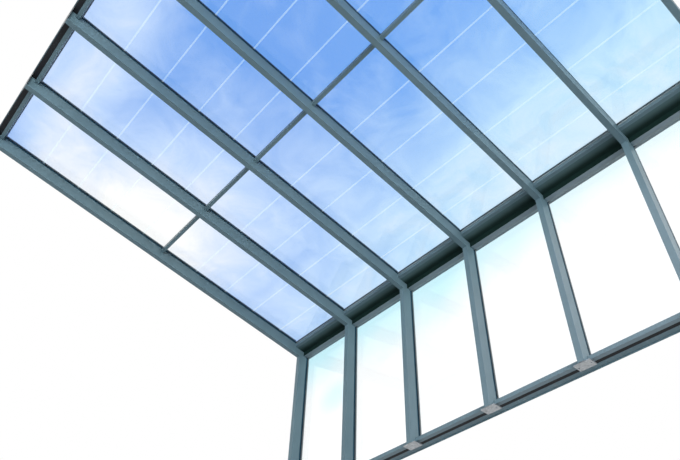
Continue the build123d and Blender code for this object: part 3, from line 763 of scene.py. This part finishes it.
def makeAllScrews():
    width = barPlaces[-1] - barPlaces[0]
    along = int(width / sheetScrews["pitch"]) + 1
    outside = Matrix.Rotation(-math.pi / 2, 4, "X")  # heads look along +Y
    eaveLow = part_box("eave_flashing")[0]
    makeScrews("eaveScrews", sheetScrews, along, sheetScrews["pitch"], 1, 1.0,
               Matrix.Translation((barPlaces[0], frontFace - glazing["innerFace"] + glazing["tapeAndSheet"],
                                   eaveLow.z + sheetScrews["aboveEaveEdge"])) @ outside)
    ridgeLow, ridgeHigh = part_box("ridge_flashing")
    makeScrews("ridgeScrews", sheetScrews, along, sheetScrews["pitch"], 1, 1.0,
               Matrix.Translation((barPlaces[0], ridgeLow.y + sheetScrews["sheet"],
                                   ridgeHigh.z - sheetScrews["belowRidgeTop"])) @ outside)
    for name, place, level, ends in (
            ("rafterPlateScrews", roofPlace, roofFace + plateScrews["plate"], caps["roof"]),
            ("mullionPlateScrews", frontPlace, frontFace + plateScrews["plate"], caps["front"])):
        count = int((ends[1] - ends[0]) / plateScrews["pitch"])
        margin = (ends[1] - ends[0] - (count - 1) * plateScrews["pitch"]) / 2
        makeScrews(name, plateScrews, bayCount + 1, bayPitch, count, -plateScrews["pitch"],
                   place @ Matrix.Translation((barPlaces[0], -ends[0] - margin, level)))


makeAllScrews()

beads = {"radius": 0.0026, "gap": 0.056, "overlap": 0.0235}  # gap at a bar, and sheet over the glass's edge


def makeBeads(look):
    start = barPlaces[0] + look["gap"] / 2
    rows = (
        ("eaveBead", roofPlace, (-glazing["eave"] - look["overlap"], roofFace)),
        ("ridgeBead", roofPlace, (-glazing["ridge"] + look["overlap"], roofFace)),
        ("sillBead", frontPlace, (-glazing["sill"] - look["overlap"], frontFace)),
    )
    for name, place, (y, z) in rows:
        values = {
            "Columns": bayCount, "Column Pitch": bayPitch, "Rows": 1, "Row Pitch": 1.0, "Groups": 1,
            "Group Pitch": 1.0, "Finish": sealFinish, "Length": bayPitch - look["gap"],
            "Radius": look["radius"],
        }
        grow(name, beadTree, values, place @ Matrix.Translation((start, y, z)))


makeBeads(beads)

# Studio
studio = {
    "floorHeight": -4.7, "floorSize": 500.0,
    "floor": {"colour": (0.80, 0.81, 0.82, 1), "shade": (0.768, 0.7776, 0.7872, 1), "mottle": 0.3,
              "grain": 60.0, "gloss": (0.7, 0.85)},
    "floorGlow": 0.78, "fadeFrom": 8.0, "fadeAt": 24.0,  # the floor fades into the background
    "background": (1.0, 1.0, 1.0, 1), "ambient": (0.88, 0.95, 1.0, 1), "ambientStrength": 0.36,
    "fill": {"place": (6.0, -24.0, 1.5), "aim": (0.0, -0.5, 1.4), "size": 10.0, "power": 2100.0},
    "side": {"place": (23.0, -12.0, -0.4), "aim": (0.0, -1.5, 1.8), "size": 11.0, "power": 6500.0},
    "sky": {"place": (1.0, 5.0, 9.0), "aim": (0.0, -1.5, 2.0), "size": 9.0, "power": 500.0},
}


def backgroundRays(tree):
    # 1 for the rays that show the background: seen directly, mirrored or through glass
    rays = put(tree, "ShaderNodeLightPath")
    first = put(tree, "ShaderNodeMath", operation="MAXIMUM")
    seen = put(tree, "ShaderNodeMath", operation="MAXIMUM")
    wire(tree,
         (rays, "Is Camera Ray", first, 0), (rays, "Is Glossy Ray", first, 1), (first, 0, seen, 0),
         (rays, "Is Transmission Ray", seen, 1))
    return seen


def makeFloor():
    half = studio["floorSize"] / 2
    mesh = bpy.data.meshes.new("floor")
    height = studio["floorHeight"]
    corners = [(-half, -half, height), (half, -half, height), (half, half, height), (-half, half, height)]
    mesh.from_pydata(corners, [], [(0, 1, 2, 3)])
    floor = bpy.data.objects.new("floor", mesh)
    scene.collection.objects.link(floor)
    material, tree, shader, coords = newMaterial("floorPaint")
    grain = grainNode(tree, studio["floor"])
    wire(tree, (coords, "Object", grain, "Vector"), (grain, "Colour", shader, "Base Color"),
         (grain, "Roughness", shader, "Roughness"))
    glow = put(tree, "ShaderNodeEmission", {"Color": studio["background"]})
    away = put(tree, "ShaderNodeVectorMath", operation="LENGTH")
    level = put(tree, "ShaderNodeMapRange", {"From Min": studio["fadeFrom"], "From Max": studio["fadeAt"],
                                             "To Min": studio["floorGlow"]}, interpolation_type="SMOOTHSTEP")
    share = put(tree, "ShaderNodeMath", operation="MULTIPLY")
    mix = put(tree, "ShaderNodeMixShader")
    wire(tree,
         (coords, "Object", away, 0), (away, "Value", level, "Value"), (level, "Result", share, 1),
         (backgroundRays(tree), 0, share, 0), (share, 0, mix, 0), (shader, "BSDF", mix, 1),
         (glow, "Emission", mix, 2), (mix, 0, tree.nodes["Material Output"], "Surface"))
    mesh.materials.append(material)


def makeWorld():
    world = bpy.data.worlds.new("studioSky")
    scene.world = world
    world.use_nodes = True
    tree = world.node_tree
    tree.nodes.clear()
    ambient = put(tree, "ShaderNodeBackground", {
        "Color": studio["ambient"], "Strength": studio["ambientStrength"]})
    white = put(tree, "ShaderNodeBackground", {"Color": studio["background"], "Strength": 1.0})
    mix = put(tree, "ShaderNodeMixShader")
    out = put(tree, "ShaderNodeOutputWorld")
    wire(tree,
         (backgroundRays(tree), 0, mix, 0), (ambient, 0, mix, 1), (white, 0, mix, 2),
         (mix, 0, out, "Surface"))


def makeLight(name, look):
    light = bpy.data.lights.new(name, "AREA")
    light.size = look["size"]
    light.energy = look["power"]
    holder = bpy.data.objects.new(name, light)
    scene.collection.objects.link(holder)
    holder.location = look["place"]
    aim = Vector(look["aim"]) - Vector(look["place"])
    holder.rotation_euler = aim.to_track_quat("-Z", "Y").to_euler()
    holder.visible_glossy = False
    holder.visible_camera = False
    holder.visible_transmission = False


makeFloor()
makeWorld()
for name in ("fill", "side", "sky"):
    makeLight(name, studio[name])

# Camera: low on the inner side, looking up at the knee
viewpoint = {
    "place": (3.2419, -4.5558, -3.0936), "forward": (-0.54948, 0.46375, 0.69499),
    "up": (0.50986, -0.47285, 0.71864),
    "focal": 34.90, "sensor": 36.0, "shift": (-0.0075, 0.0098), "clip": (0.05, 200.0),
}


def makeCamera(look):
    back = -Vector(look["forward"]).normalized()
    up = Vector(look["up"])
    right = up.cross(back).normalized()
    up = back.cross(right)
    camera = bpy.data.objects.new("camera", bpy.data.cameras.new("camera"))
    scene.collection.objects.link(camera)
    camera.matrix_world = Matrix.Translation(look["place"]) @ Matrix((right, up, back)).transposed().to_4x4()
    camera.data.lens = look["focal"]
    camera.data.sensor_width = look["sensor"]
    camera.data.shift_x, camera.data.shift_y = look["shift"]
    camera.data.clip_start, camera.data.clip_end = look["clip"]
    scene.camera = camera


makeCamera(viewpoint)
scene.view_settings.view_transform = "Standard"
print("studio and camera ready")
